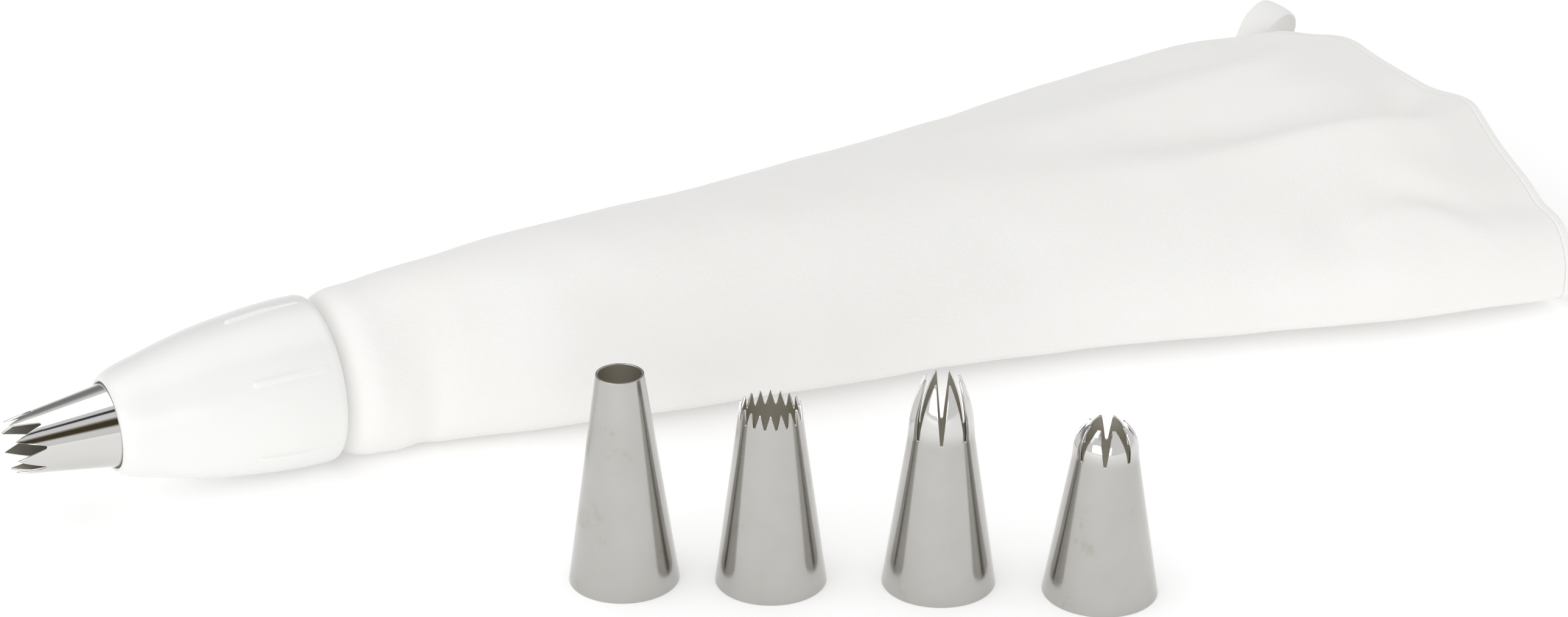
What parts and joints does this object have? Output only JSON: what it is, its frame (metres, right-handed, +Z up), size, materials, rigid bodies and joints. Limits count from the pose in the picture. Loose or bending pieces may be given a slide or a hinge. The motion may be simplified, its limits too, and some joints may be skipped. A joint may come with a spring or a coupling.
{
  "type": "piping bag",
  "caption": "Tapered coated-fabric piping bag lying flat, with screw coupler, mounted star nozzle, hanging loop and four loose steel nozzles standing beside it.",
  "frame": {"origin": "middle of the footprint of the bag and its loose nozzles, on the surface they stand on", "axes": "+X along the coupler's axis from the nozzle to the open end of the bag, +Y away from the loose nozzles, +Z up"},
  "size_m": [0.4514, 0.2622, 0.0518],
  "materials": {
    "bag_fabric": "smooth coated white fabric with a soft sheen",
    "hem_fabric": "folded and welded edge of the coated fabric",
    "loop_tape": "fine woven white tape",
    "coupler_plastic": "satin moulded white plastic",
    "nozzle_steel": "drawn stainless steel, satin polished along the cone"
  },
  "bodies": {
    "bag": {"bag_shell": "bag_fabric", "top_hem": "hem_fabric", "threaded_adapter": "coupler_plastic"},
    "mounted_nozzle": {"star_nozzle": "nozzle_steel"},
    "nut": {"coupler_nut": "coupler_plastic"},
    "loop": {"hanging_loop": "loop_tape"},
    "plain_tip": {"plain_nozzle": "nozzle_steel"},
    "fine_tooth_tip": {"fine_tooth_nozzle": "nozzle_steel"},
    "petal_tip": {"petal_nozzle": "nozzle_steel"},
    "closed_star_tip": {"closed_star_nozzle": "nozzle_steel"}
  },
  "joints": [
    {"name": "nozzle_release", "type": "slide", "parent": "bag", "child": "mounted_nozzle", "axis": [-1, 0, 0], "range_m": [0, 0.0121]},
    {"name": "nut_turn", "type": "hinge", "parent": "mounted_nozzle", "child": "nut", "pos_m": [-0.202, 0.03624, 0.0215], "axis": [-1, 0, 0], "range_deg": [0, 1080]},
    {"name": "loop_flop", "type": "hinge", "parent": "bag", "child": "loop", "pos_m": [0.2046, 0.12324, 0.0085], "axis": [0, 1, 0], "range_deg": [-20, 45], "stiffness_Nm_per_rad": 0.001},
    {"name": "plain_lift", "type": "slide", "parent": "bag", "child": "plain_tip", "axis": [0, 0, 1], "range_m": [0, 0.08]},
    {"name": "fine_tooth_lift", "type": "slide", "parent": "bag", "child": "fine_tooth_tip", "axis": [0, 0, 1], "range_m": [0, 0.08]},
    {"name": "petal_lift", "type": "slide", "parent": "bag", "child": "petal_tip", "axis": [0, 0, 1], "range_m": [0, 0.08]},
    {"name": "closed_star_lift", "type": "slide", "parent": "bag", "child": "closed_star_tip", "axis": [0, 0, 1], "range_m": [0, 0.08]}
  ],
  "couplings": [
    {"joint": "nozzle_release", "follows": "nut_turn", "m_per_rad": 0.00063662}
  ]
}
